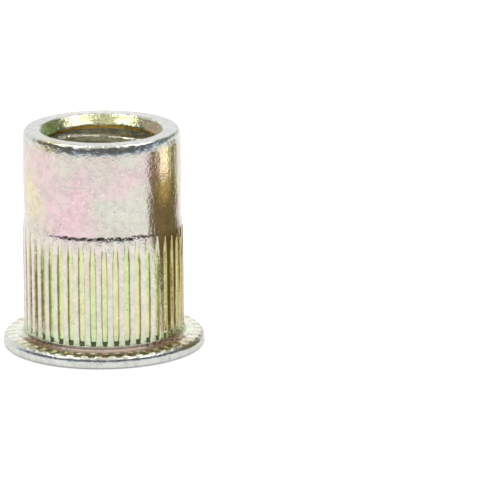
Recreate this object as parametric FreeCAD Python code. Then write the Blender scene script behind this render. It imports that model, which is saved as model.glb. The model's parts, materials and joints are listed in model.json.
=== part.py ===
import FreeCAD, Part
import math
import os

# A flat-head, open-ended rivet nut with a straight knurl, for an M10 x 1.5 screw.
# It is cold formed from one piece of steel. It stands on its flange: the origin is the
# centre of the flange's outer face, and +Z runs along the axis to the threaded end.
# Every size is in millimetres and every angle is in degrees.

# Overall
overall_length = 17.9

# Flange
flange_diameter = 16.34
rim_height = 0.64             # top of the rim's upright wall
rim_lower_rounding = 0.22
rim_bevel_width = 0.09        # the rim's upper edge is rolled: a steep bevel ...
rim_bevel_height = 0.18
face_diameter = 15.8          # ... and a flatter one, up to the edge of the bearing face
face_height = 1.03
ring_diameter = 14.24         # ring where the serrated bearing face meets the plain collar
ring_height = 1.1
collar_height = 1.08          # where the plain collar would meet the barrel
neck_chamfer = 0.19           # slope that fills the corner between the collar and the barrel

# Barrel
knurl_diameter = 13.0         # over the ridges of the knurl
barrel_diameter = 12.68       # plain stretch above the knurl
shoulder_start = 9.6          # height where the ridges begin to slope in
shoulder_end = 10.85          # height where the plain stretch begins
shoulder_rounding = 2.0       # where the slope blends into the plain stretch
end_taper_height = 0.75       # the threaded end is rolled in: it tapers ...
end_taper_width = 0.23
end_taper_rounding = 1.5
end_rounding = 0.3            # ... and its edge is rounded

# Knurl
groove_count = 44
groove_width = 0.46
groove_depth = 0.2
groove_stand_off = 0.15       # plain edge between the neck and the foot of a groove
groove_ramp_length = 0.37
groove_runout = 0.51          # how far a groove runs up the shoulder's slope
groove_end_rise = 0.1         # how far its arched end rises over its width

# Serrations of the bearing face, one in line with each groove of the knurl
serration_top_width = 0.7
serration_floor_width = 0.38
serration_inner_depth = 0.045
serration_rim_depth = 0.12

# Bore
thread_bore_diameter = 8.5    # over the crests of the M10 x 1.5 thread
mouth_diameter = 10.1         # countersink at the threaded end
countersink_angle = 90.0      # included angle
mouth_rounding = 0.1
counterbore_diameter = 10.7   # thin wall that folds outwards when the nut is set
counterbore_depth = 8.3
counterbore_point_angle = 118.0
counterbore_chamfer = 0.3

# How far a cutter stands out of the surface that it cuts
cutter_overrun = 0.5


def section_edges(corners):
    """Edges of a closed outline in the XZ plane, from corners (radius, height, rounding)."""
    points = [FreeCAD.Vector(radius, 0, height) for radius, height, rounding in corners]
    starts, ends, middles = [], [], []
    for index, corner in enumerate(points):
        rounding = corners[index][2]
        to_last = (points[index - 1] - corner).normalize()
        to_next = (points[(index + 1) % len(points)] - corner).normalize()
        half_angle = to_last.getAngle(to_next) / 2
        reach = rounding / math.tan(half_angle)
        bisector = (to_last + to_next).normalize()
        starts.append(corner + to_last * reach)
        ends.append(corner + to_next * reach)
        middles.append(corner + bisector * (rounding / math.sin(half_angle) - rounding))

    edges = []
    for index in range(len(points)):
        if corners[index][2] > 0:
            arc = Part.Arc(starts[index], middles[index], ends[index])
            edges.append(arc.toShape())
        following = (index + 1) % len(points)
        edges.append(Part.makeLine(ends[index], starts[following]))
    return edges


def turned_blank():
    """The plain body: outline and bore turned about the axis, before knurl and serrations."""
    countersink_depth = (
        (mouth_diameter - thread_bore_diameter) / 2
        / math.tan(math.radians(countersink_angle / 2))
    )
    counterbore_step = (
        (counterbore_diameter - thread_bore_diameter) / 2
        / math.tan(math.radians(counterbore_point_angle / 2))
    )
    corners = [
        (counterbore_diameter / 2 + counterbore_chamfer, 0, 0),
        (flange_diameter / 2, 0, rim_lower_rounding),
        (flange_diameter / 2, rim_height, 0),
        (flange_diameter / 2 - rim_bevel_width, rim_height + rim_bevel_height, 0),
        (face_diameter / 2, face_height, 0),
        (ring_diameter / 2, ring_height, 0),
        (knurl_diameter / 2 + neck_chamfer, collar_height, 0),
        (knurl_diameter / 2, collar_height + neck_chamfer, 0),
        (knurl_diameter / 2, shoulder_start, 0),
        (barrel_diameter / 2, shoulder_end, shoulder_rounding),
        (barrel_diameter / 2, overall_length - end_taper_height, end_taper_rounding),
        (barrel_diameter / 2 - end_taper_width, overall_length, end_rounding),
        (mouth_diameter / 2, overall_length, mouth_rounding),
        (thread_bore_diameter / 2, overall_length - countersink_depth, 0),
        (thread_bore_diameter / 2, counterbore_depth + counterbore_step, 0),
        (counterbore_diameter / 2, counterbore_depth, 0),
        (counterbore_diameter / 2, counterbore_chamfer, 0),
    ]
    section = Part.Face(Part.Wire(section_edges(corners)))
    return section.revolve(FreeCAD.Vector(0, 0, 0), FreeCAD.Vector(0, 0, 1), 360)


def groove_cutter():
    """Cutter of the knurl groove at +X: a ramp at the flange end and an arched end at the top."""
    outside = knurl_diameter / 2 + cutter_overrun
    floor = knurl_diameter / 2 - groove_depth
    half_width = groove_width / 2
    ramp_slope = groove_depth / groove_ramp_length
    groove_bottom = collar_height + neck_chamfer + groove_stand_off
    groove_top = shoulder_start + groove_runout

    # Side of the groove in the XZ plane, swept across its width
    side = Part.makePolygon([
        FreeCAD.Vector(floor, -half_width, groove_bottom + groove_ramp_length),
        FreeCAD.Vector(
            outside, -half_width, groove_bottom - cutter_overrun / ramp_slope
        ),
        FreeCAD.Vector(outside, -half_width, groove_top),
        FreeCAD.Vector(floor, -half_width, groove_top),
        FreeCAD.Vector(floor, -half_width, groove_bottom + groove_ramp_length),
    ])
    ramped = Part.Face(side).extrude(FreeCAD.Vector(0, groove_width, 0))

    # Front of the groove in the YZ plane, with its arched end, swept outwards
    low = FreeCAD.Vector(floor, -half_width, groove_bottom)
    high = FreeCAD.Vector(floor, -half_width, groove_top - groove_end_rise)
    crown = FreeCAD.Vector(floor, 0, groove_top)
    across = FreeCAD.Vector(0, groove_width, 0)
    front = Part.Wire([
        Part.makeLine(low, high),
        Part.Arc(high, crown, high + across).toShape(),
        Part.makeLine(high + across, low + across),
        Part.makeLine(low + across, low),
    ])
    arched = Part.Face(front).extrude(FreeCAD.Vector(outside - floor, 0, 0))
    return ramped.common(arched)


def serration_cutter():
    """Cutter of the radial notch at +X, which deepens from the ring to the rim."""
    face_slope = (ring_height - face_height) / (face_diameter / 2 - ring_diameter / 2)

    def section(radius, depth):
        face_height = ring_height - (radius - ring_diameter / 2) * face_slope
        side_slope = (serration_top_width - serration_floor_width) / 2 / serration_rim_depth
        floor_half = serration_floor_width / 2
        top_half = floor_half + side_slope * (depth + cutter_overrun)
        corners = [
            FreeCAD.Vector(radius, -floor_half, face_height - depth),
            FreeCAD.Vector(radius, floor_half, face_height - depth),
            FreeCAD.Vector(radius, top_half, face_height + cutter_overrun),
            FreeCAD.Vector(radius, -top_half, face_height + cutter_overrun),
        ]
        return Part.makePolygon(corners + corners[:1])

    rim_radius = flange_diameter / 2
    width = rim_radius - ring_diameter / 2
    deepening = (serration_rim_depth - serration_inner_depth) / width
    outer_depth = serration_rim_depth + deepening * cutter_overrun
    return Part.makeLoft(
        [
            section(ring_diameter / 2, serration_inner_depth),
            section(rim_radius + cutter_overrun, outer_depth),
        ],
        True,
        True,
    )


def around_axis(cutter, count):
    """Copies of a cutter, evenly spaced about the axis."""
    copies = []
    for index in range(count):
        copy = cutter.copy()
        copy.rotate(FreeCAD.Vector(0, 0, 0), FreeCAD.Vector(0, 0, 1), 360 / count * index)
        copies.append(copy)
    return copies


def rivet_nut():
    """The whole nut, one solid."""
    nut = turned_blank()
    nut = nut.cut(around_axis(groove_cutter(), groove_count))
    return nut.cut(around_axis(serration_cutter(), groove_count))


os.makedirs("parts", exist_ok=True)
nut = rivet_nut()
nut.exportStep("parts/rivet_nut.step")
print("rivet_nut: solids", len(nut.Solids), "volume", round(nut.Volume, 2), "mm3")
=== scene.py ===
# %% [markdown]
# # A plated rivet nut
#
# This lesson dresses one small fastener: a flat-head, open-ended rivet nut of
# yellow-zinc-plated steel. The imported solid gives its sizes. The lesson builds one closed
# skin over it, with soft edges on the knurl and on the serrated flange, cuts the thread that
# the solid leaves plain, and then makes the plating out of shader nodes.

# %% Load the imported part
import json
import math

import bmesh
import bpy
from mathutils import Matrix, Vector, noise


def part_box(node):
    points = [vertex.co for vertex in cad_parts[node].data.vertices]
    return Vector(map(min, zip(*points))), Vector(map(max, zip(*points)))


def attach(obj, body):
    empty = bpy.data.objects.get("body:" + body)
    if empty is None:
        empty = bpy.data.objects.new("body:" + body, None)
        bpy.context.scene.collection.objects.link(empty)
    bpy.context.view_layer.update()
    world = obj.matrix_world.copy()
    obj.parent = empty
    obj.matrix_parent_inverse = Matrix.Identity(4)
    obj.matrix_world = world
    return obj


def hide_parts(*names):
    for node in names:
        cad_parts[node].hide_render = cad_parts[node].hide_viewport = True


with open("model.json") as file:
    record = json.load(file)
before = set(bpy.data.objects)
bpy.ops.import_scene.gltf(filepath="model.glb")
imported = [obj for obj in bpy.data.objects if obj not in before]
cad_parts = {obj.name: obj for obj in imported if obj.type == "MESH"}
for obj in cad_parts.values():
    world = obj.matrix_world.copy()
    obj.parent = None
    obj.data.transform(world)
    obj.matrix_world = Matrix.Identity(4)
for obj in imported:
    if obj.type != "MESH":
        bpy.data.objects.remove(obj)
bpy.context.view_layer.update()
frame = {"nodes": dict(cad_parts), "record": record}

print("loaded nodes", sorted(frame["nodes"]))

# %% [markdown]
# ## Sizes
#
# The outside sizes come from the solid's own box, and the round ones from the mounts in its
# record: a skin that follows them can't drift away from the part. What the box and the
# mounts don't tell, such as the height of the shoulder, is named here in metres.

# %% Sizes
MM = 0.001
NODE = "rivet_nut"
node_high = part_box(NODE)[1]
mounts = {mount["name"]: mount for mount in frame["record"]["mounts"]}


def mount_radius(name):
    return mounts[name]["dims"]["r_mm"] * MM


length = node_high.z
rim_radius = node_high.x
barrel_radius = mount_radius("barrel")
knurl_radius = mount_radius("sheet_hole")
crest_radius = mount_radius("thread")
counterbore_radius = mount_radius("screw_clearance")

rim_lower_rounding = 0.22 * MM
rim_rounding = 0.40 * MM
rim_centre_height = 0.55 * MM
ring_radius = 7.12 * MM
ring_height = 1.10 * MM
collar_height = 1.08 * MM
neck_width = 0.19 * MM
shoulder_start = 9.6 * MM
shoulder_end = 10.85 * MM
end_drop = 0.75 * MM
mouth_radius = 5.05 * MM
mouth_rounding = 0.32 * MM
cone_rounding = 0.42 * MM
counterbore_depth = 8.3 * MM
counterbore_chamfer = 0.3 * MM
step_slope = math.tan(math.radians(118 / 2))

print(f"length {length / MM:.2f} mm, rim radius {rim_radius / MM:.2f} mm")

# %% [markdown]
# ## Camera
#
# The photograph was taken from about 15 degrees above the table with a long lens, which
# keeps the sides of the barrel nearly parallel. Sizes that were fitted to the outline place
# the camera exactly: how far it stands, how high it looks from, and which point beside the
# nut it aims at. The small function that adds it to the scene serves later objects too.

# %% Camera
camera_distance = 392.9 * MM
camera_lens = 364.0
camera_elevation = math.radians(15.03)
camera_turn = math.radians(-2.1)
camera_roll = math.radians(-0.32)
camera_aim = Vector((11.09 * MM, 0, 8.475 * MM))


def add_object(name, data):
    added = bpy.data.objects.new(name, data)
    bpy.context.scene.collection.objects.link(added)
    return added


turn = Matrix.Rotation(camera_turn, 3, "Z")
backwards = turn @ Vector((0, -math.cos(camera_elevation), math.sin(camera_elevation)))
camera_data = bpy.data.cameras.new("camera")
camera_data.lens = camera_lens
camera_data.sensor_width = 36.0
camera_data.clip_start = 0.01
camera_data.clip_end = 10.0
camera = add_object("camera", camera_data)
camera.rotation_mode = "QUATERNION"
camera.location = turn @ camera_aim + backwards * camera_distance
level = (-backwards).to_track_quat("-Z", "Y").to_matrix()
camera.rotation_quaternion = (level @ Matrix.Rotation(camera_roll, 3, "Z")).to_quaternion()
bpy.context.scene.camera = camera
bpy.context.scene.view_settings.view_transform = "Standard"
print("camera at", [round(value, 4) for value in camera.location])

# %% [markdown]
# ## The columns of the skin
#
# The knurl and the serrations repeat 44 times round the axis. Booleans would leave hard,
# uneven edges, so the skin is one grid: rows run along the outline, and columns run round
# the axis. The columns stand close together at the walls of each groove and far apart on its
# floor. Both ends of a pitch are ridges, and its middle is a groove.

# %% Columns
groove_count = 44
groove_half_floor = 0.195 * MM
groove_half_mouth = 0.268 * MM
pitch_half_width = math.pi * knurl_radius / groove_count
column_offsets = [0.0, 0.10, 0.165, 0.20, 0.232, 0.262, 0.295, 0.37]

groove_stations = [offset * MM for offset in column_offsets]
groove_stations += [-offset * MM for offset in column_offsets[1:]]
groove_stations.append(pitch_half_width)
groove_stations.sort()
columns = [(groove, station) for groove in range(groove_count) for station in groove_stations]
print(len(groove_stations), "columns a pitch,", len(columns), "round the nut")

# %% [markdown]
# ## Uneven work
#
# Cold forming never repeats itself exactly. Each groove is a hair wider, deeper or further
# round than the next one. Random numbers would change at every run, so smooth noise is read
# at a fixed place for each groove instead. Four small helpers of the shapes come with it.


# %% Small differences from groove to groove
def wobble(groove, channel):
    """A number near 0, from -1 to 1, that belongs to one groove."""
    return noise.noise(Vector((groove * 1.37 + 0.5, channel * 7.3 + 0.25, 0.5))) * 1.6


def clamp(value):
    return min(1.0, max(0.0, value))


def smooth_step(low, high, value):
    share = clamp((value - low) / (high - low))
    return share * share * (3 - 2 * share)


def direction_at(angle):
    return Vector((math.cos(angle), math.sin(angle), 0))


def point_at(radius, angle, height):
    return radius * math.cos(angle), radius * math.sin(angle), height


print("first grooves lean by", [round(wobble(groove, 0), 2) for groove in range(4)])

# %% [markdown]
# ## Knurl
#
# A groove is a flat floor between two steep walls. At the flange it ramps up to the ridges
# in a short facet. Towards the other end it narrows and its floor rises slowly, because the
# tool was drawn out there, and it ends in a low arch on the shoulder. The depth at any place
# is the product of three shares: across the groove, over the ramp, and up to the arch.

# %% Depth of the knurl
groove_depth = 0.2 * MM
groove_foot = collar_height + neck_width + 0.15 * MM
groove_ramp = 0.37 * MM
groove_crown = 10.11 * MM
groove_arch = 0.12 * MM
groove_arch_edge = 0.07 * MM
groove_rise_start = 8.3 * MM
groove_rise = 0.62
foot_narrowing = 0.045 * MM
top_narrowing = 0.095 * MM
groove_play = {"aside": 0.02 * MM, "width": 0.016 * MM, "depth": 0.10, "crown": 0.05 * MM}


def groove_share(groove, station, height):
    """1 on the floor of the groove, 0 on the ridge beside it."""
    offset = abs(station - groove_play["aside"] * wobble(groove, 1))
    at_foot = 1 - smooth_step(groove_foot + 0.25 * MM, groove_foot + 1.1 * MM, height)
    at_top = smooth_step(groove_rise_start - 0.6 * MM, groove_crown, height)
    widening = groove_play["width"] * wobble(groove, 2)
    widening -= foot_narrowing * at_foot + top_narrowing * at_top
    return 1 - smooth_step(groove_half_floor + widening, groove_half_mouth + widening, offset)


def knurl_cut(groove, station, height, surface_radius):
    """How far the surface is pressed in at this place."""
    rise = 1 - groove_rise * smooth_step(groove_rise_start, groove_crown, height)
    floor = knurl_radius - groove_depth * rise * (1 + groove_play["depth"] * wobble(groove, 3))
    ramp = clamp((height - groove_foot) / groove_ramp)
    across = station / groove_half_mouth
    crown = groove_crown + groove_play["crown"] * wobble(groove, 4)
    crown -= groove_arch * across * across
    arch = 1 - smooth_step(crown - groove_arch_edge, crown, height)
    share = groove_share(groove, station, height) * ramp * arch
    return max(0.0, surface_radius - floor) * share


print(f"ramps {math.degrees(math.atan(groove_depth / groove_ramp)):.0f} degrees off the wall")

# %% [markdown]
# ## Serrations
#
# The bearing face of the flange bites into the sheet. Flat ridges run out from the ring at
# the foot of the barrel and fade into the rolled edge of the rim. The floor between them
# falls away faster, so the notches get deeper on the way out. Each starts in a small arch.
# The ridges are lower on the two sides than at the front and the back.

# %% Ridges of the bearing face
floor_inner_height = 1.052 * MM
floor_fall = 0.165
ridge_fall = 0.085
ridge_side_loss = 0.45
notch_half_mouth = 0.36 * MM
notch_half_floor = 0.20 * MM
notch_inner_loss = 0.08 * MM
notch_flare = 0.12 * MM
notch_arch = 0.13 * MM
notch_play = {"aside": 0.06 * MM, "width": 0.03 * MM, "height": 0.15}


def notch_share(groove, station, radius):
    """1 on the floor of a notch, 0 on the ridge beside it."""
    offset = abs(station * radius / knurl_radius - notch_play["aside"] * wobble(groove, 6))
    outwards = (radius - ring_radius) / (rim_radius - ring_radius)
    widening = notch_flare * outwards - notch_inner_loss + notch_play["width"] * wobble(groove, 7)
    across = smooth_step(notch_half_mouth + widening, notch_half_floor + widening, offset)
    arch = ring_radius + 0.08 * MM + notch_arch * (offset / notch_half_mouth) ** 2
    return across * smooth_step(arch, arch + 0.12 * MM, radius)


def ridge_rise(groove, station, radius, floor_height):
    """How far the bearing face rises over the floor of the notches at this place."""
    ridge_height = ring_height - ridge_fall * (radius - ring_radius)
    fading = smooth_step(rim_radius - 0.12 * MM, rim_radius - 0.36 * MM, radius)
    to_side = abs(math.cos(math.tau * groove / groove_count))
    fading *= 1 - ridge_side_loss * smooth_step(0.70, 0.92, to_side)
    fading *= 1 + notch_play["height"] * wobble(groove, 5)
    return (ridge_height - floor_height) * fading * (1 - notch_share(groove, station, radius))


print("half a notch", notch_half_mouth / MM, "mm wide")

# %% [markdown]
# ## Burr
#
# Where the knurling stopped, the metal was pushed up and torn into a ragged little ledge.
# It runs along the front and, a little weaker, along the back. A painted line would vanish at the
# edges of the view, so the ledge is modelled. The material only adds painted shade along it: a
# dark, mottled line.

# %% Shoulder and burr
burr_height = 10.16 * MM
burr_drop = 0.12 * MM
burr_spread = 0.11 * MM
burr_heal = 0.62 * MM


def shoulder_radius(height):
    """Radius over the ridges, and of the barrel above them, with no burr."""
    share = smooth_step(shoulder_start - 0.2 * MM, shoulder_end + 0.3 * MM, height)
    return knurl_radius + (barrel_radius - knurl_radius) * share


def burr_strength(angle):
    """1 where the edge is fully torn, 0 where the shoulder is smooth."""
    place = direction_at(angle)
    front = smooth_step(0.72, 0.97, -place.y + 0.10 * noise.noise(place * 6))
    back = 0.8 * smooth_step(0.80, 0.98, place.y + 0.10 * noise.noise(place * 7))
    gaps = 0.85 + 0.7 * noise.noise(place * 19 + Vector((0, 0, 4)))
    return clamp(max(front, back) * gaps)


def burr_edge(angle):
    """Height of the torn edge at this angle."""
    place = direction_at(angle)
    ragged = noise.noise(place * 8) * 0.08 * MM + noise.noise(place * 38) * 0.13 * MM
    return burr_height + ragged


def burr_cut(angle, height):
    """Drop of the surface past the torn edge, which heals up the shoulder."""
    edge = burr_edge(angle)
    past = smooth_step(edge, edge + burr_spread, height)
    healed = 1 - smooth_step(edge + 0.15 * MM, edge + burr_heal, height)
    return burr_drop * burr_strength(angle) * past * healed


print(f"shoulder from {shoulder_start / MM:.2f} to {shoulder_end / MM:.2f} mm")

# %% [markdown]
# ## The outline as rows
#
# Each row is a radius and a height on the plain turned outline, before the cuts above are
# taken off. The rows stand close where the surface turns. The threaded end was rolled in, so
# it is a list of drops below the end, each with its inset from the barrel and the deeper
# inset at the front, where the tool pressed harder.

# %% Rows of the outside
barrel_profile = [(11.3, 0.01), (12.2, 0.025), (13.1, 0.04), (14.0, 0.045), (15.0, 0.045)]
end_profile = [
    (1.90, -0.042, -0.040), (1.50, -0.040, -0.038), (1.15, -0.035, -0.034),
    (0.92, -0.024, -0.026), (0.76, -0.010, -0.010), (0.62, 0.0, 0.012),
    (0.50, 0.008, 0.040), (0.39, 0.018, 0.078), (0.29, 0.038, 0.126),
    (0.20, 0.068, 0.182), (0.12, 0.112, 0.248), (0.06, 0.170, 0.322),
    (0.02, 0.240, 0.410), (0.004, 0.310, 0.480), (0.0, 0.400, 0.545),
]


def arc_rows(centre, radius, first_degrees, last_degrees, steps):
    """Rows along an arc of the outline, round a centre (radius, height)."""
    rows = []
    for step in range(steps + 1):
        angle = math.radians(first_degrees + (last_degrees - first_degrees) * step / steps)
        rows.append((centre[0] + radius * math.cos(angle), centre[1] + radius * math.sin(angle)))
    return rows


def straight_rows(first, last, steps):
    """Rows between two points of the outline, both left out."""
    rows = []
    for step in range(1, steps):
        share = step / steps
        rows.append((
            first[0] + (last[0] - first[0]) * share,
            first[1] + (last[1] - first[1]) * share,
        ))
    return rows


def flange_rows():
    """Rows from the underside's edge over the rim and the bearing face to the barrel."""
    lower = (rim_radius - rim_lower_rounding, rim_lower_rounding)
    upper = (rim_radius - rim_rounding, rim_centre_height)
    rows = arc_rows(lower, rim_lower_rounding, -90, 0, 5)
    rows += straight_rows(rows[-1], (rim_radius, upper[1]), 2)
    rows += arc_rows(upper, rim_rounding, 0, 80, 8)
    for outwards in (0.60, 0.48, 0.36, 0.26, 0.20, 0.16, 0.125, 0.095, 0.065, 0.035):
        rows.append((ring_radius + outwards * MM, floor_inner_height - floor_fall * outwards * MM))
    rows.append((ring_radius, ring_height))
    rows.append((ring_radius - 0.05 * MM, ring_height - 0.001 * MM))
    rows += straight_rows(rows[-1], (knurl_radius + neck_width, collar_height), 4)
    neck = (knurl_radius + neck_width, collar_height + neck_width)
    return rows + arc_rows(neck, neck_width, -90, -180, 5)


def barrel_rows():
    """Rows up the knurl, over the shoulder and up the barrel to the end face."""
    heights = [1.34, 1.40, 1.42, 1.44, 1.52, 1.62, 1.70, 1.765, 1.79, 1.815, 1.89, 2.1]
    heights += [2.4 + 0.75 * step for step in range(8)]
    heights += [8.4, 8.8, 9.2, 9.5, 9.7, 9.83, 9.91, 9.97]
    heights += [10.01 + 0.028 * step for step in range(16)]
    heights += [10.48, 10.54, 10.62, 10.74, 10.92]
    rows = [(shoulder_radius(height * MM), height * MM) for height in heights]
    for height, bulge in barrel_profile:
        rows.append((shoulder_radius(height * MM) + bulge * MM, height * MM))
    for drop, inset, pressed in end_profile:
        rows.append((barrel_radius - inset * MM, length - drop * MM))
    return rows


rows = flange_rows() + barrel_rows()
print(len(rows), "rows on the outside")

# %% [markdown]
# ## Thread
#
# The thread is M10 x 1.5 and right-handed. Its rows are no rings: they climb one pitch each
# turn, so every crest and flank follows the helix exactly. The thread was cut before the
# mouth was pressed to a cone, so it starts shallow and is fully deep a little further in.

# %% Thread
thread_pitch = 1.5 * MM
root_radius = 5.0 * MM
thread_columns = 256
thread_profile = [
    (0.00, 0.0), (0.10, 0.0), (0.19, 0.0), (0.235, 0.06), (0.31, 0.30), (0.40, 0.62),
    (0.485, 0.93), (0.53, 1.0), (0.64, 1.0), (0.69, 0.93), (0.78, 0.62), (0.87, 0.30),
    (0.945, 0.06),
]
cone_foot = length - (mouth_radius - crest_radius)
bore_top = cone_foot - cone_rounding * math.tan(math.radians(22.5))
thread_lead_in = 0.6 * MM
thread_shift = 0.95 * MM
step_top = counterbore_depth + (counterbore_radius - crest_radius) / step_slope
bore_bottom = step_top - (root_radius + 0.02 * MM - crest_radius) / step_slope


def bore_wall(height):
    """Radius of the plain bore, or of the step below it, at this height."""
    return max(crest_radius, crest_radius + (step_top - height) * step_slope)


# Rows of (height at angle 0, depth share), one helix each, well past both ends.
first_turn = bore_bottom - 2 * thread_pitch + thread_shift
turns = math.ceil((bore_top - first_turn) / thread_pitch) + 2
helices = []
for turn_number in range(turns):
    for share, depth in thread_profile:
        helices.append((first_turn + (turn_number + share) * thread_pitch, depth))
print(len(helices), "helical rows,", len(thread_profile), "a pitch")

# %% [markdown]
# ## Tools that put the skin together
#
# The outside has one column for each station, and the bore has far fewer, evenly spread.
# Where they meet, on the flat end face and the flat underside, a strip of triangles walks
# round both rings at once.

# %% Rings and strips
skin = bmesh.new()
OUTSIDE = 0
BORE = 1


def ring_of(points):
    return [skin.verts.new(point) for point in points]


def join_rings(first, second, material_index):
    """Quads between two rings with as many points each."""
    for index in range(len(first)):
        following = (index + 1) % len(first)
        corners = (first[index], first[following], second[following], second[index])
        skin.faces.new(corners).material_index = material_index


def angle_of(vert):
    return math.atan2(vert.co.y, vert.co.x) % math.tau


def walk_rings(first, second):
    """Triangles between two rings with different numbers of points."""
    first = sorted(first, key=angle_of)
    second = sorted(second, key=angle_of)
    first_angles = [angle_of(vert) for vert in first] + [angle_of(first[0]) + math.tau]
    second_angles = [angle_of(vert) for vert in second] + [angle_of(second[0]) + math.tau]
    here, there = 0, 0
    while here < len(first) or there < len(second):
        corners = [first[here % len(first)], second[there % len(second)]]
        if there >= len(second) or (
            here < len(first) and first_angles[here + 1] <= second_angles[there + 1]
        ):
            here += 1
            corners.insert(1, first[here % len(first)])
        else:
            there += 1
            corners.insert(1, second[there % len(second)])
        skin.faces.new(corners)


print("tools ready")

# %% [markdown]
# ## The outside of the skin
#
# Every row becomes a ring of points, with the knurl, the burr or the serrations taken off.
# Neighbouring rings are joined by quads.

# %% Build the outside
pressed_turn = math.radians(90 + 2)
dent_depth = 0.046 * MM
collar_mark_depth = 0.035 * MM
extra_insets = {round(drop, 3): (pressed - inset) * MM for drop, inset, pressed in end_profile}


def pressed_cut(angle, height):
    """How much further the tool pressed the end in at the front."""
    drop = round((length - height) / MM, 3)
    return extra_insets.get(drop, 0.0) * smooth_step(0.68, 0.90, math.cos(angle + pressed_turn))


def dent_cut(angle, height):
    """Shallow dents that rolling left in the rounded end."""
    around = direction_at(angle) * (barrel_radius / MM)
    along = Vector((0, 0, 3.0 * height / MM))
    dent = noise.noise(around * 1.4 + along) + 0.8 * noise.noise(around * 3.1 + along)
    inside = smooth_step(length - end_drop, length - 0.8 * end_drop, height)
    at_edge = smooth_step(length, length - 0.08 * end_drop, height)
    return dent_depth * max(0.0, 0.25 + dent) * inside * at_edge


def collar_cut(groove, station, radius):
    """The faint start of each notch, on the collar inside the ring."""
    across = smooth_step(0.30 * MM, 0.10 * MM, abs(station * radius / knurl_radius))
    window = smooth_step(knurl_radius + 0.15 * MM, knurl_radius + 0.30 * MM, radius)
    window *= smooth_step(ring_radius, ring_radius - 0.06 * MM, radius)
    return collar_mark_depth * across * window


def outside_ring(radius, height):
    """One row of the outside, with every cut taken off."""
    points = []
    for groove, station in columns:
        angle = groove * math.tau / groove_count + station / knurl_radius
        place_radius = radius
        place_height = height
        if height > length - 2 * MM:
            place_radius -= pressed_cut(angle, height) + dent_cut(angle, height)
        elif height > collar_height + neck_width:
            place_radius -= knurl_cut(groove, station, height, radius)
            place_radius -= burr_cut(angle, height)
        elif height > rim_centre_height and radius > ring_radius:
            place_height += ridge_rise(groove, station, radius, height)
        elif height > rim_centre_height:
            place_height -= collar_cut(groove, station, radius)
        points.append(point_at(place_radius, angle, place_height))
    return ring_of(points)


outside = [outside_ring(radius, height) for radius, height in rows]
for lower, upper in zip(outside, outside[1:]):
    join_rings(lower, upper, OUTSIDE)
print(len(skin.faces), "faces outside")

# %% [markdown]
# ## The bore
#
# Each column of the threaded stretch climbs with the helix and is clipped level at both
# ends. Beyond the last column the rows join the first column one pitch higher, which closes
# the helix.

# %% Build the thread
bore_angles = [math.tau * column / thread_columns for column in range(thread_columns)]


def plain_ring(radius, height):
    """An even ring of the bore."""
    return ring_of([point_at(radius, angle, height) for angle in bore_angles])


def thread_radius(height, depth):
    """Radius of the thread at a height, for a depth share from crest 0 to root 1."""
    lead_in = 1 - smooth_step(bore_top - thread_lead_in, bore_top, height)
    cut = crest_radius + (root_radius - crest_radius) * depth * lead_in
    return max(bore_wall(height), cut)


def thread_grid():
    """The threaded stretch, as one list of points for each column."""
    grid = []
    for angle in bore_angles:
        climb = thread_pitch * angle / math.tau
        line = []
        for start, depth in helices:
            height = min(bore_top, max(bore_bottom, start + climb))
            radius = thread_radius(height, depth)
            if height == bore_bottom:
                radius = bore_wall(height)
            line.append(point_at(radius, angle, height))
        grid.append(ring_of(line))
    return grid


def join_thread(grid):
    """Quads between the columns, left out where both ends of a row are clipped away."""
    for column in range(thread_columns):
        last = column == thread_columns - 1
        shift = len(thread_profile) if last else 0
        here = grid[column]
        there = grid[0 if last else column + 1]
        for row in range(len(helices) - 1 - shift):
            corners = (here[row], here[row + 1], there[row + 1 + shift], there[row + shift])
            heights = [vert.co.z for vert in corners]
            if max(heights) > bore_bottom and min(heights) < bore_top:
                skin.faces.new(corners).material_index = BORE


join_thread(thread_grid())
print(len(skin.faces), "faces with the thread")

# %% [markdown]
# ## Cone, counterbore and end faces
#
# The cone at the mouth has a small rounding at each edge, which catches the light as a thin
# line. The wall round the counterbore is thin, because it folds outwards when the nut is
# set. Last, both flat faces are closed, and the open edges are counted: a real nut has none.

# %% Close the skin
double_distance = 0.0008 * MM
shortest_edge = 0.0002 * MM
cone_start = (crest_radius + cone_rounding, bore_top)
mouth_rows = arc_rows(cone_start, cone_rounding, 180, 135, 6)
lip = (mouth_radius + mouth_rounding * 0.414, length - mouth_rounding)
lip_rows = arc_rows(lip, mouth_rounding, 135, 90, 6)
mouth_rows += straight_rows(mouth_rows[-1], lip_rows[0], 4) + lip_rows
counterbore_rows = [(bore_wall(bore_bottom), bore_bottom)]
for height in (counterbore_depth, counterbore_depth * 0.6, counterbore_depth * 0.25):
    counterbore_rows.append((counterbore_radius, height))
counterbore_rows.append((counterbore_radius, counterbore_chamfer))
counterbore_rows.append((counterbore_radius + counterbore_chamfer, 0.0))
for bore_rows, outer_ring in ((mouth_rows, outside[-1]), (counterbore_rows, outside[0])):
    rings = [plain_ring(radius, height) for radius, height in bore_rows]
    for lower, upper in zip(rings, rings[1:]):
        join_rings(lower, upper, BORE)
    walk_rings(rings[-1], outer_ring)

bmesh.ops.remove_doubles(skin, verts=skin.verts, dist=double_distance)
bmesh.ops.dissolve_degenerate(skin, edges=skin.edges, dist=shortest_edge)
loose = [vert for vert in skin.verts if not vert.link_faces]
bmesh.ops.delete(skin, geom=loose, context="VERTS")
bmesh.ops.recalc_face_normals(skin, faces=skin.faces)
open_edges = [edge for edge in skin.edges if not edge.is_manifold]
triangles = sum(len(face.verts) - 2 for face in skin.faces)
print(len(skin.verts), "points,", triangles, "triangles,", len(open_edges), "open edges")

# %% [markdown]
# ## The skin as an object
#
# The skin stands for the solid, so it replaces the node and rides on its body. Shading is
# smooth, except across edges that are really sharp.

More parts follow.
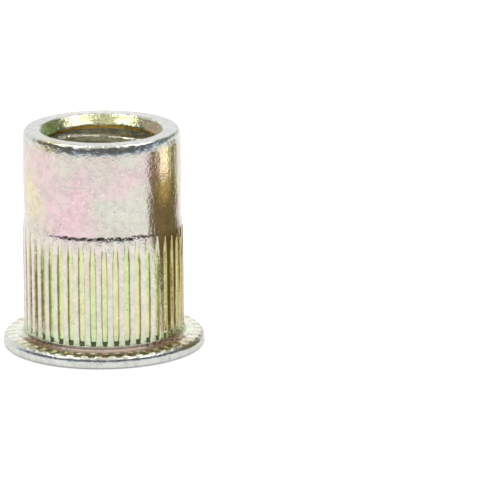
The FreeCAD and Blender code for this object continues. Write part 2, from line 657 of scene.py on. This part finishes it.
# %% Turn the skin into an object
sharp_angle = math.radians(38)
mesh = bpy.data.meshes.new("plated_nut")
skin.to_mesh(mesh)
skin.free()
nut = add_object("plated_nut", mesh)
for polygon in mesh.polygons:
    polygon.use_smooth = True
mesh.set_sharp_from_angle(angle=sharp_angle)
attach(nut, "root")
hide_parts(NODE)
print("skin made", nut.name, "for", NODE)

# %% [markdown]
# ## Where the finish changes
#
# The plating took another colour on the floors of the grooves than on the ridges and the walls. A
# material can't know where a groove is, so the mesh carries three numbers at each point: how deep
# in a groove it lies, how close to its wall, and how much painted shade it gets along the burr.

# %% Values on the points
face_low = 0.86 * MM
recess = mesh.attributes.new("recess", "FLOAT", "POINT")
wall = mesh.attributes.new("wall", "FLOAT", "POINT")
burr_shade = mesh.attributes.new("burr_shade", "FLOAT", "POINT")


def nearest_groove(x, y):
    """The groove next to a point, and how far beside its middle the point lies."""
    angle = math.atan2(y, x)
    pitch_angle = math.tau / groove_count
    groove = round(angle / pitch_angle)
    return groove % groove_count, (angle - groove * pitch_angle) * knurl_radius


def wall_nearness(share):
    """1 in the middle of a wall, where the share is a half, and 0 beside it."""
    return (4 * share * (1 - share)) ** 0.45


def burr_shade_value(x, y, height):
    """Painted shade on the ledge itself and a little above it."""
    angle = math.atan2(y, x)
    edge = burr_edge(angle)
    near = smooth_step(edge - 0.02 * MM, edge + 0.02 * MM, height)
    far = 1 - smooth_step(edge + 0.12 * MM, edge + 0.34 * MM, height)
    return near * far * burr_strength(angle)


for vert in mesh.vertices:
    x, y, height = vert.co
    radius = math.hypot(x, y)
    if radius < counterbore_radius + 0.1 * MM:
        continue
    here = vert.index
    if radius > ring_radius and height > face_low:
        share = notch_share(*nearest_groove(x, y), radius)
        recess.data[here].value = share
        wall.data[here].value = wall_nearness(share)
    if groove_foot < height < groove_crown + 0.1 * MM:
        share = groove_share(*nearest_groove(x, y), height)
        depth = clamp((shoulder_radius(height) - radius) / groove_depth)
        if height < groove_foot + groove_ramp:
            depth = share
        recess.data[here].value = depth
        wall.data[here].value = wall_nearness(share) * min(1.0, 1.5 * max(0.15, depth))
    # painted shade along the burr, stored on the points
    if abs(height - burr_height) < MM:
        burr_shade.data[here].value = burr_shade_value(x, y, height)
print("three values on", len(mesh.vertices), "points")

# %% [markdown]
# ## Helpers for shader nodes
#
# Every node here is made by one line of code, so a finish reads from top to bottom. The
# helpers only place nodes and join sockets, in the node tree that is named tree at that
# moment. A colour is built up like paint: each layer covers the ones under it by its share.


# %% Node helpers
def feed(socket, value):
    """Joins an output to a socket, or sets the socket to a plain value."""
    if isinstance(value, bpy.types.NodeSocket):
        tree.links.new(value, socket)
    else:
        socket.default_value = value


def feed_all(node, values):
    """Feeds several sockets of a node, each by its name."""
    for name, value in values.items():
        feed(node.inputs[name], value)
    return node


def add_node(kind, values=None, **settings):
    """A new node with its settings, and with the given sockets fed."""
    node = tree.nodes.new(kind)
    for name, value in settings.items():
        setattr(node, name, value)
    return feed_all(node, values or {})


def calculate(operation, first, second=0.0):
    node = add_node("ShaderNodeMath", {0: first, 1: second}, operation=operation)
    return node.outputs[0]


def times(product, *factors):
    for factor in factors:
        product = calculate("MULTIPLY", product, factor)
    return product


def fade(value, low, high, first=0.0, last=1.0):
    """Smooth change from first to last while value goes from low to high."""
    values = {"Value": value, "From Min": low, "From Max": high, "To Min": first, "To Max": last}
    node = add_node("ShaderNodeMapRange", values, interpolation_type="SMOOTHSTEP")
    return node.outputs["Result"]


def mix_colours(share, first, second, blend="MIX"):
    node = add_node("ShaderNodeMix", {"Factor": share}, data_type="RGBA", blend_type=blend)
    colour_inputs = [socket for socket in node.inputs if socket.type == "RGBA"]
    feed(colour_inputs[0], first)
    feed(colour_inputs[1], second)
    return next(socket for socket in node.outputs if socket.type == "RGBA")


def paint(colour, layers):
    """The colour with layers over it, each one a share and a colour."""
    for share, layer in layers:
        colour = mix_colours(share, colour, layer)
    return colour


def noise_value(place, scale, detail=2.0, roughness=0.5, distortion=0.0):
    values = {"Vector": place, "Scale": scale, "Detail": detail}
    values.update({"Roughness": roughness, "Distortion": distortion})
    return add_node("ShaderNodeTexNoise", values).outputs["Fac"]


def stretch(place, factors, shift=(0, 0, 0)):
    """The place with each axis scaled, then shifted."""
    values = {"Vector": place, "Scale": factors, "Location": shift}
    return add_node("ShaderNodeMapping", values).outputs["Vector"]


def split_axes(place):
    """The three coordinates of a place."""
    return add_node("ShaderNodeSeparateXYZ", {"Vector": place}).outputs


def distance_from(place, point=(0, 0, 0)):
    node = add_node("ShaderNodeVectorMath", {0: place, 1: point}, operation="DISTANCE")
    return node.outputs["Value"]


def near_point(place, point, radius):
    """1 at a point of the nut, in millimetres, and 0 from a radius on."""
    return fade(distance_from(place, point), radius, 0.0)


def paint_spots(place, colour, spots):
    """The colour with round soft spots over it, each a point, a radius and a colour."""
    for point, radius, spot_colour in spots:
        colour = paint(colour, [(near_point(place, point, radius), spot_colour)])
    return colour


def read_value(name):
    return add_node("ShaderNodeAttribute", attribute_name=name).outputs["Fac"]


def place_in_mm():
    object_place = add_node("ShaderNodeTexCoord").outputs["Object"]
    return stretch(object_place, (1000, 1000, 1000))


def set_bump(shader, height, distance):
    values = {"Strength": 1.0, "Distance": distance, "Height": height}
    feed(shader.inputs["Normal"], add_node("ShaderNodeBump", values).outputs["Normal"])


def start_material(name, mesh):
    """A new material in the next slot of a mesh, with its tree and its shader."""
    material = bpy.data.materials.new(name)
    material.use_nodes = True
    mesh.materials.append(material)
    return material.node_tree, material.node_tree.nodes["Principled BSDF"]


def start_group(name, inputs, outputs):
    """A new node group, the sockets that it is given, and the sockets of its results."""
    group = bpy.data.node_groups.new(name, "ShaderNodeTree")
    sockets = group.interface
    for socket_name, (kind, value) in inputs.items():
        socket = sockets.new_socket(socket_name, in_out="INPUT", socket_type="NodeSocket" + kind)
        socket.default_value = value
    for socket_name, kind in outputs.items():
        sockets.new_socket(socket_name, in_out="OUTPUT", socket_type="NodeSocket" + kind)
    given = group.nodes.new("NodeGroupInput").outputs
    return group, given, group.nodes.new("NodeGroupOutput").inputs


def place_group(group, values):
    return add_node("ShaderNodeGroup", values, node_tree=group).outputs


print("helpers ready")

# %% [markdown]
# ## Tint of the passivation
#
# Yellow passivation is a film about as thick as a wavelength of light. Where it is a little
# thicker or thinner its colour swings between grey, pink, yellow and green. Working out the
# interference would be hard to steer, and soft noise that mixes four tints gives the same
# patches. Both materials of the nut use it, so it is a node group.

# %% Group: passivation tint
tint_group, given, results = start_group("passivation_tint", {
    "Place": ("Vector", (0, 0, 0)),
    "Patch Scale": ("Float", 0.24),
    "Pinker": ("Float", 0.0),
    "Yellower": ("Float", 0.0),
    "Plain": ("Color", (0.715, 0.67, 0.61, 1)),
    "Pink": ("Color", (0.82, 0.60, 0.645, 1)),
    "Yellow": ("Color", (0.82, 0.74, 0.48, 1)),
    "Green": ("Color", (0.70, 0.70, 0.62, 1)),
}, {"Tint": "Color"})
tree = tint_group
soft = noise_value(given["Place"], given["Patch Scale"], 3, 0.42, 0.4)
moved = stretch(given["Place"], (1, 1, 1), (13.1, 4.7, 8.3))
second_soft = noise_value(moved, given["Patch Scale"], 3, 0.42, 0.3)
pink_level = calculate("ADD", soft, given["Pinker"])
yellow_level = calculate("ADD", second_soft, given["Yellower"])
feed(results["Tint"], paint(given["Plain"], [
    (fade(pink_level, 0.46, 0.72), given["Pink"]),
    (fade(yellow_level, 0.52, 0.76), given["Yellow"]),
    (fade(second_soft, 0.46, 0.28), given["Green"]),
]))
print("group", tint_group.name)

# %% [markdown]
# ## Grain of the plating
#
# Zinc is plated out of a bath as fine crystals on steel that was drawn and pressed. Up close
# the surface is a fine grain, a tenth of a millimetre across, with softer unevenness under
# it. The group gives a height for the bump, and a shade that darkens the hollows.

# %% Group: plating grain
fine_scale = 5.0
soft_scale = 1.4
grain_group, given, results = start_group("plating_grain", {
    "Place": ("Vector", (0, 0, 0)),
    "Darkest": ("Float", 0.84),
}, {"Height": "Float", "Shade": "Float"})
tree = grain_group
fine = noise_value(given["Place"], fine_scale, 2, 0.6)
soft = noise_value(given["Place"], soft_scale, 3, 0.6)
height = calculate("ADD", fine, times(soft, 1.6))
feed(results["Height"], height)
feed(results["Shade"], fade(height, 0.95, 1.55, given["Darkest"], 1.0))
print("group", grain_group.name)

# %% [markdown]
# ## Flecks
#
# A tumbled part has tiny knocks. Most of the flecks are white: painted glints, where such knocks
# would catch the light. A few are dark knocks that hold dirt. Cells of a Voronoi texture stand
# apart from each other as such knocks do. Only the few cells whose own random value is high enough
# become a fleck.

# %% Group: flecks
fleck_group, given, results = start_group("flecks", {
    "Place": ("Vector", (0, 0, 0)),
    "Cells": ("Float", 2.6),
    "Size": ("Float", 0.2),
    "Rarity": ("Float", 0.8),
}, {"Mask": "Float"})
tree = fleck_group
cells = add_node("ShaderNodeTexVoronoi", {"Vector": given["Place"], "Scale": given["Cells"]})
inside = calculate("SUBTRACT", given["Size"], cells.outputs["Distance"])
cell_value = add_node("ShaderNodeSeparateColor", {"Color": cells.outputs["Color"]})
rare = calculate("GREATER_THAN", cell_value.outputs["Red"], given["Rarity"])
feed(results["Mask"], times(fade(inside, 0.0, 0.12), rare))


def grain_and_flecks(place, colour, darkest, rarity, glint_colour):
    """The colour with grain and with white flecks, painted glints, on it, and the height of the
    grain.
    """
    grain = place_group(grain_group, {"Place": place, "Darkest": darkest})
    flecks = place_group(fleck_group, {"Place": place, "Rarity": rarity})
    colour = mix_colours(1.0, colour, grain["Shade"], "MULTIPLY")
    return paint(colour, [(flecks["Mask"], glint_colour)]), grain["Height"]


print("group", fleck_group.name)

# %% [markdown]
# ## Finish of the outside: tint
#
# Bare metal has its colour in its reflections, so the tint is the base colour of a metallic
# shader. Noise alone would put the patches of the film anywhere. A short list of places, in
# millimetres, pushes it to pink or to yellow there, or away from them.

# %% Outside: patches of tint
tree, shader = start_material("yellow_zinc_outside", mesh)
place = place_in_mm()
tint_spots = [
    ((-4.9, -4.0, 14.8), 3.4, 0.12, -0.12),
    ((-5.7, -2.9, 13.0), 3.2, -0.12, 0.36),
    ((-4.6, -4.3, 11.2), 3.0, 0.08, 0.13),
    ((-1.2, -6.2, 15.9), 3.2, -0.10, -0.06),
    ((2.0, -6.0, 15.9), 3.2, -0.08, 0.02),
    ((-1.9, -6.0, 13.4), 3.8, 0.30, -0.12),
    ((-3.1, -5.5, 11.8), 2.8, 0.10, -0.10),
    ((1.2, -6.2, 11.4), 3.2, -0.10, -0.10),
    ((2.4, -5.9, 13.7), 3.2, 0.10, 0.05),
]
pinker, yellower = 0.0, 0.0
for point, radius, pink_push, yellow_push in tint_spots:
    spot = near_point(place, point, radius)
    pinker = calculate("ADD", pinker, times(spot, pink_push))
    yellower = calculate("ADD", yellower, times(spot, yellow_push))
colour = place_group(tint_group, {
    "Place": place, "Patch Scale": 0.22, "Pinker": pinker, "Yellower": yellower,
})["Tint"]
print(len(tint_spots), "places push the tint")

# %% [markdown]
# ## Finish of the outside: masks
#
# Each layer of colour has to know where it lies. Most masks come from the height and from
# the distance to the axis. The grooves and their walls come from the values on the points.

# %% Outside: masks
to_right, to_back, height = split_axes(place)
from_axis = distance_from(stretch(place, (1, 1, 0)))
on_knurl = fade(height, 1.28, 1.36)
on_face = times(fade(from_axis, 6.62, 6.8), fade(height, 0.82, 0.90))
on_collar = times(fade(height, 1.42, 1.30), fade(from_axis, 7.2, 7.1))
on_rim = calculate("MAXIMUM", fade(height, 0.98, 0.90), fade(height, 16.9, 17.3))
front_and_back = fade(calculate("ABSOLUTE", to_back), 1.8, 4.4)
left_side = fade(to_right, -4.2, -5.4)
recess_share = fade(read_value("recess"), 0.30, 0.95)
wall_share = times(read_value("wall"), 0.75)
print("masks from", len(tree.nodes), "nodes")

# %% [markdown]
# ## Finish of the outside: knurl
#
# The ridges are paler than the barrel. Above 10 mm the knurl ends. At the right, below the
# shoulder, gold is painted over it: a painted reflection of a neighbouring gold nut. The floors
# are lime, each a little different, and brown at the left. The walls are painted last: brown,
# darker at the left, and golden at the right.

# %% Outside: colours of the knurl
by_groove = noise_value(stretch(place, (1.1, 1.1, 0.10)), 1.0, 2)
floor_tint = paint((0.65, 0.78, 0.41, 1), [
    (fade(by_groove, 0.38, 0.62), (0.76, 0.77, 0.45, 1)),
    (times(left_side, 0.85), (0.50, 0.41, 0.20, 1)),
])
wall_tint = paint_spots(place, (0.40, 0.31, 0.15, 1), [
    ((-6.4, -1.6, 5.5), 8.0, (0.22, 0.15, 0.05, 1)),
    ((6.6, -1.6, 5.5), 7.0, (0.74, 0.59, 0.22, 1)),
])
# painted reflection: dark gold on the right of the knurl, below the shoulder
painted_reflection_side = times(fade(to_right, 4.0, 5.2, 0.0, 0.95), fade(height, 10.4, 9.4))
colour = paint(colour, [
    (times(fade(height, 10.3, 9.9), 0.55), (0.79, 0.77, 0.69, 1)),
    (times(left_side, 0.25), (0.78, 0.64, 0.54, 1)),
    (painted_reflection_side, (0.50, 0.40, 0.18, 1)),
    (times(recess_share, on_knurl), floor_tint),
    (times(fade(height, 2.6, 1.6), 0.6), (0.62, 0.76, 0.47, 1)),
    (times(wall_share, on_knurl), wall_tint),
])
print("knurl painted,", len(tree.nodes), "nodes")

# %% [markdown]
# ## Finish of the outside: bearing face
#
# The bearing face is pale gold. At the front and the back it holds stains: pink in the middle,
# brown at the right and olive at the left. The notches are darker in the middle of the front, and
# a thin dark line runs along their walls.

# %% Outside: colours of the bearing face
face_stain = paint_spots(place, (0.98, 0.72, 0.64, 1), [
    ((5.6, -5.2, 1.0), 4.8, (0.48, 0.29, 0.11, 1)),
    ((-5.4, -5.4, 1.0), 4.6, (0.38, 0.35, 0.12, 1)),
])
notch_tint = paint_spots(place, (1.0, 1.0, 0.60, 1), [
    ((0.6, -7.4, 1.0), 4.4, (0.46, 0.20, 0.12, 1)),
    ((5.6, -5.2, 1.0), 4.4, (1.0, 0.88, 0.56, 1)),
])
patchy = fade(noise_value(place, 1.3, 3, 0.6), 0.36, 0.60, 0.4, 1.0)
face_share = times(on_face, front_and_back, patchy, fade(from_axis, 7.1, 7.25))
notch_level = calculate("ADD", times(front_and_back, 0.85), 0.15)
edge_level = fade(front_and_back, 0.0, 1.0, 0.45, 0.75)
colour = paint(colour, [
    (on_face, (0.98, 0.98, 0.86, 1)),
    (face_share, face_stain),
    (times(recess_share, on_face, notch_level), notch_tint),
    (times(wall_share, on_face, edge_level), (0.36, 0.31, 0.14, 1)),
])
print("bearing face painted,", len(tree.nodes), "nodes")

# %% [markdown]
# ## Finish of the outside: collar and rims
#
# The collar round the foot of the knurl is pink, with brown dirt at both sides of the front and
# painted shade in its corner. The outer edge of the bearing face is painted darker at the front
# and the back. Both rolled rims are bare grey metal with a warmer place at the front of the end.
# The back of the end is painted paler: a painted reflection of the bright backdrop.

# %% Outside: colours of the collar and the rims
brown_left = near_point(place, (-5.6, -4.2, 1.1), 4.2)
brown_collar = calculate("ADD", brown_left, near_point(place, (5.2, -4.6, 1.1), 3.6))
dirt = fade(noise_value(place, 3.6, 3, 0.6), 0.47, 0.56)
dirt = times(dirt, fade(brown_collar, 0.0, 0.5, 0.12, 0.9))
collar_tint = paint((1.0, 0.75, 0.69, 1), [
    (brown_collar, (0.66, 0.42, 0.28, 1)),
    (dirt, (0.12, 0.10, 0.04, 1)),
])
speckle = fade(noise_value(place, 3.0, 2, 0.6), 0.36, 0.56, 0.45, 1.0)
collar_level = calculate("ADD", front_and_back, brown_collar)
collar_share = times(on_collar, collar_level, speckle)
# painted shade in the corner of the collar
in_corner = times(on_collar, fade(height, 1.13, 1.20, 0.0, 0.45))
face_edge = times(fade(from_axis, 7.62, 7.85), front_and_back, on_face)
# rims: grey, a warmer spot at the front of the end, and a paler painted reflection at its back
rim_tint = paint_spots(place, (0.75, 0.76, 0.73, 1), [
    ((0.0, 7.2, 17.9), 7.0, (0.94, 0.93, 0.86, 1)),
    ((-4.4, -4.8, 17.4), 2.6, (0.74, 0.64, 0.42, 1)),
])
colour = paint(colour, [
    (collar_share, collar_tint),
    (in_corner, (0.30, 0.28, 0.20, 1)),
    (face_edge, (0.66, 0.65, 0.50, 1)),
    (on_rim, rim_tint),
])
print("collar and rims painted,", len(tree.nodes), "nodes")

# %% [markdown]
# ## Finish of the outside: marks
#
# Three scratches come next. A scratch is a round spot in a space that is stretched upwards, so it
# comes out long and thin. Then come the grain, the white flecks, which are painted glints, a few
# dark ones, and a black, mottled painted shade along the burr.

# %% Outside: scratches, flecks and residue
scratch_slimness = 12
scratch_strength = 0.8
scratches = [
    ((4.03, -4.89, 15.06), 0.55, (0.95, 0.92, 0.80, 1)),
    ((4.79, -4.15, 10.75), 0.80, (0.90, 0.86, 0.70, 1)),
    ((-2.36, -5.88, 14.45), 2.2, (0.58, 0.52, 0.50, 1)),
]
stretched = stretch(place, (1, 1, scratch_slimness))
for (x, y, z), half_length, scratch_colour in scratches:
    scratch = near_point(stretched, (x, y, z * scratch_slimness), half_length)
    colour = paint(colour, [(times(scratch, scratch_strength), scratch_colour)])

# white flecks: painted glints on the outside
colour, grain_height = grain_and_flecks(place, colour, 0.84, 0.80, (0.96, 0.96, 0.93, 1))
moved = stretch(place, (1, 1, 1), (5.3, 2.9, 7.7))
dark = place_group(fleck_group, {"Place": moved, "Cells": 2.1, "Size": 0.17, "Rarity": 0.93})
mottle = fade(noise_value(place, 4.2, 2, 0.6), 0.40, 0.58, 0.25, 1.0)
# painted shade: a dark, mottled line along the burr ledge
burr_shade_share = times(fade(read_value("burr_shade"), 0.10, 0.6), mottle)
colour = paint(colour, [
    (dark["Mask"], (0.16, 0.14, 0.08, 1)),
    (burr_shade_share, (0.045, 0.045, 0.035, 1)),
])
print(len(scratches), "scratches,", len(tree.nodes), "nodes")

# %% [markdown]
# ## Finish of the outside: sheen
#
# The rims are a little duller than the barrel, and stains and the painted shade of the burr much
# more so. The stained collar shines only half like metal. The grain is the bump.

# %% Outside: sheen and bump
stains_and_burr_shade = calculate("MAXIMUM", burr_shade_share, collar_share)
stains_and_burr_shade = calculate("MAXIMUM", stains_and_burr_shade, times(face_share, 0.5))
roughness = fade(on_rim, 0.0, 1.0, 0.15, 0.24)
feed_all(shader, {
    "Base Color": colour,
    "Metallic": fade(collar_share, 0.0, 1.0, 1.0, 0.45),
    "Roughness": calculate("ADD", roughness, times(stains_and_burr_shade, 0.4)),
})
set_bump(shader, grain_height, 0.030 * MM)
print("outside finished with", len(tree.nodes), "nodes")

# %% [markdown]
# ## Finish of the bore
#
# In the bore the bath hardly moved, so the film is thicker there and more golden, and the
# cutting tool left fine rings on the steel. The cone is green at the left and brown at the
# right, its lip is pale, and a thin gold line marks its foot.

# %% Material: bore
tree, shader = start_material("yellow_zinc_bore", mesh)
place = place_in_mm()
colour = place_group(tint_group, {
    "Place": place, "Patch Scale": 0.35,
    "Plain": (0.70, 0.69, 0.44, 1), "Pink": (0.80, 0.64, 0.50, 1),
    "Yellow": (0.78, 0.70, 0.34, 1), "Green": (0.58, 0.68, 0.36, 1),
})["Tint"]
colour = paint_spots(place, colour, [
    ((-4.3, 0.6, 17.5), 3.4, (0.35, 0.49, 0.14, 1)),
    ((4.5, 1.4, 17.5), 3.2, (0.36, 0.26, 0.17, 1)),
])
height = split_axes(place)["Z"]
on_lip = fade(height, 17.74, 17.80)
from_cone_foot = fade(height, 17.08, 17.01)
in_thread = fade(height, 16.88, 16.78)
colour = paint(colour, [
    (on_lip, (0.80, 0.80, 0.73, 1)),
    (from_cone_foot, (0.95, 0.56, 0.10, 1)),
    (in_thread, (0.96, 0.93, 0.76, 1)),
])
# white flecks: painted glints in the bore
colour, grain_height = grain_and_flecks(place, colour, 0.72, 0.7, (0.94, 0.92, 0.80, 1))
tool_rings = noise_value(stretch(place, (0.4, 0.4, 9.0)), 1.0, 2)
feed_all(shader, {
    "Base Color": colour, "Metallic": 1.0,
    "Roughness": fade(in_thread, 0.0, 1.0, 0.15, 0.24),
})
bump_distance = fade(in_thread, 0, 1, 0.036 * MM, 0.075 * MM)
set_bump(shader, calculate("ADD", grain_height, tool_rings), bump_distance)
print("bore finished with", len(tree.nodes), "nodes")

# %% [markdown]
# ## Floor
#
# Shiny metal is a picture of its surroundings, so the surroundings are part of the finish.
# The nut stands on a pale table that the camera sees as white. Light Path lifts the table to white
# for the camera and for reflections only, so it throws no extra light on the nut, and the nut's
# own shadow stays on it. Close to the flange the lift in reflections is weaker: a painted contact
# shadow that the metal shows.

# %% Floor
reach = 1.5
floor_mesh = bpy.data.meshes.new("floor")
corners = [(-reach, -reach, 0), (reach, -reach, 0), (reach, reach, 0), (-reach, reach, 0)]
floor_mesh.from_pydata(corners, [], [(0, 1, 2, 3)])
floor = add_object("floor", floor_mesh)
tree, shader = start_material("floor", floor_mesh)
rays = add_node("ShaderNodeLightPath")
from_nut = distance_from(add_node("ShaderNodeTexCoord").outputs["Object"])
# painted shadow: reflections see the table darker close to the flange
mirrored = fade(from_nut, 8.1 * MM, 8.7 * MM, 0.20, 0.46)
seen = times(rays.outputs["Is Camera Ray"], 0.55)
reflected = times(rays.outputs["Is Glossy Ray"], mirrored)
feed_all(shader, {
    "Base Color": (0.80, 0.80, 0.80, 1), "Roughness": 1.0, "Specular IOR Level": 0.0,
    "Emission Color": (1, 1, 1, 1), "Emission Strength": calculate("ADD", seen, reflected),
})
print("floor", 2 * reach, "m wide")

# %% [markdown]
# ## Studio
#
# A white backdrop stands behind the table. The rest of the room is dark, with a little blue
# daylight low down and a bright ceiling panel. So faces that lean back a little, such as the
# rolled end, turn dark, and upright and level ones stay bright. Gradients over the direction
# of the ray describe all this with a few numbers.

# %% World
world = bpy.data.worlds.new("studio")
bpy.context.scene.world = world
world.use_nodes = True
tree = world.node_tree
direction = add_node("ShaderNodeTexCoord").outputs["Generated"]
to_right, to_back, upwards = split_axes(direction)
room = paint((0.92, 0.94, 0.97, 1), [
    (fade(upwards, 0.02, 0.12), (0.22, 0.29, 0.42, 1)),
    (fade(upwards, 0.18, 0.36), (0.115, 0.115, 0.10, 1)),
    (fade(upwards, 0.74, 0.84), (0.95, 0.95, 0.92, 1)),
    (fade(upwards, 0.85, 0.94), (0.72, 0.72, 0.60, 1)),
])
doorway = times(fade(to_right, 0.20, 0.55), fade(upwards, 0.08, 0.30), fade(upwards, 0.80, 0.62))
camera_side = fade(to_back, 0.60, 0.25)
sky = paint((0.97, 0.97, 0.97, 1), [
    (doorway, (0.26, 0.30, 0.19, 1)),
    (camera_side, room),
    (add_node("ShaderNodeLightPath").outputs["Is Camera Ray"], (1, 1, 1, 1)),
])
feed_all(tree.nodes["Background"], {"Color": sky, "Strength": 1.0})
print("world", world.name)

# %% [markdown]
# ## Lamps
#
# Two softboxes hang left and right above the table. They light the floor evenly, and in the
# cone of the mouth they show as two bright patches. Their level is plain: a white sheet of
# paper in the nut's place would just come out white.


# %% Lamps
def hang_softbox(name, place, width, height, watts):
    lamp_data = bpy.data.lights.new(name, "AREA")
    lamp_data.shape = "RECTANGLE"
    lamp_data.size = width
    lamp_data.size_y = height
    lamp_data.energy = watts
    lamp = add_object(name, lamp_data)
    lamp.location = place
    lamp.rotation_euler = (-Vector(place)).to_track_quat("-Z", "Y").to_euler()


hang_softbox("right_softbox", (0.147, -0.01, 0.28), 0.06, 0.17, 0.18)
hang_softbox("left_softbox", (-0.146, -0.01, 0.28), 0.055, 0.15, 0.15)
print("two softboxes")

# %% [markdown]
# ## A card for the edge
#
# A shiny cylinder between white walls loses its edges. This card stands close to one side as a
# painted reflection: the metal shows it as a dark band, where a neighbouring gold-plated nut and
# its shadow would be seen. It is bronze, brighter near its top, and bent round the nut. Only
# reflections see it: the camera and the light don't.

# %% Bronze card
card_radius = 11.0 * MM
card_first = math.radians(-38)
card_last = math.radians(18)
card_steps = 20
card_levels = [
    (0.0, 16, 10), (2.6, 15, 10), (3.6, 12, -6), (7.2, 8, -6), (8.4, 0, 0), (11.0, 0, 0),
    (12.6, 0, 4), (16.6, 0, 6),
]
card = bmesh.new()
levels = []
for level, left_cut, right_cut in card_levels:
    first = card_first + math.radians(left_cut)
    last = card_last - math.radians(right_cut)
    line = []
    for step in range(card_steps + 1):
        angle = first + (last - first) * step / card_steps
        line.append(card.verts.new(point_at(card_radius, angle, level * MM)))
    levels.append(line)
for lower, upper in zip(levels, levels[1:]):
    for step in range(card_steps):
        card.faces.new((lower[step], lower[step + 1], upper[step + 1], upper[step]))
card_mesh = bpy.data.meshes.new("painted_reflection_card")
card.to_mesh(card_mesh)
card.free()
card_object = add_object("painted_reflection_card", card_mesh)
card_object.visible_camera = False
card_object.visible_shadow = False
card_object.visible_diffuse = False
print("card from", round(math.degrees(card_first)), "to", round(math.degrees(card_last)))

# %% [markdown]
# ## Glow of the card
#
# The card glows by itself, so its colour doesn't hang on the lamps: its glow is a painted
# reflection. It is dark bronze with cloudy patches. A golden streak, a painted highlight, runs up
# its middle and gets brighter towards the top.

# %% Colours of the card
tree, shader = start_material("painted_reflection_card", card_mesh)
card_place = add_node("ShaderNodeTexCoord").outputs["Object"]
across, height = split_axes(card_place)[1:]
cloudy = noise_value(stretch(card_place, (700, 700, 300)), 1.0, 3, 0.6)
bronze = paint((0.17, 0.135, 0.06, 1), [
    (fade(height, 8.0 * MM, 16.0 * MM), (0.17, 0.16, 0.07, 1)),
    (fade(cloudy, 0.38, 0.62), (0.24, 0.19, 0.09, 1)),
])
gold = paint((0.26, 0.17, 0.06, 1), [
    (fade(height, 10.4 * MM, 12.6 * MM), (0.68, 0.52, 0.18, 1)),
    (fade(height, 12.9 * MM, 14.1 * MM), (1.55, 1.45, 1.10, 1)),
])
streak = times(fade(across, -4.9 * MM, -4.1 * MM), fade(across, -0.6 * MM, -1.5 * MM))
streak = times(streak, fade(height, 8.0 * MM, 12.0 * MM))
# the glow is a painted reflection, and the streak a painted highlight
feed_all(shader, {
    "Base Color": (0, 0, 0, 1), "Specular IOR Level": 0.0, "Emission Strength": 1.0,
    "Emission Color": mix_colours(streak, bronze, gold),
})
print("card painted with", len(tree.nodes), "nodes")
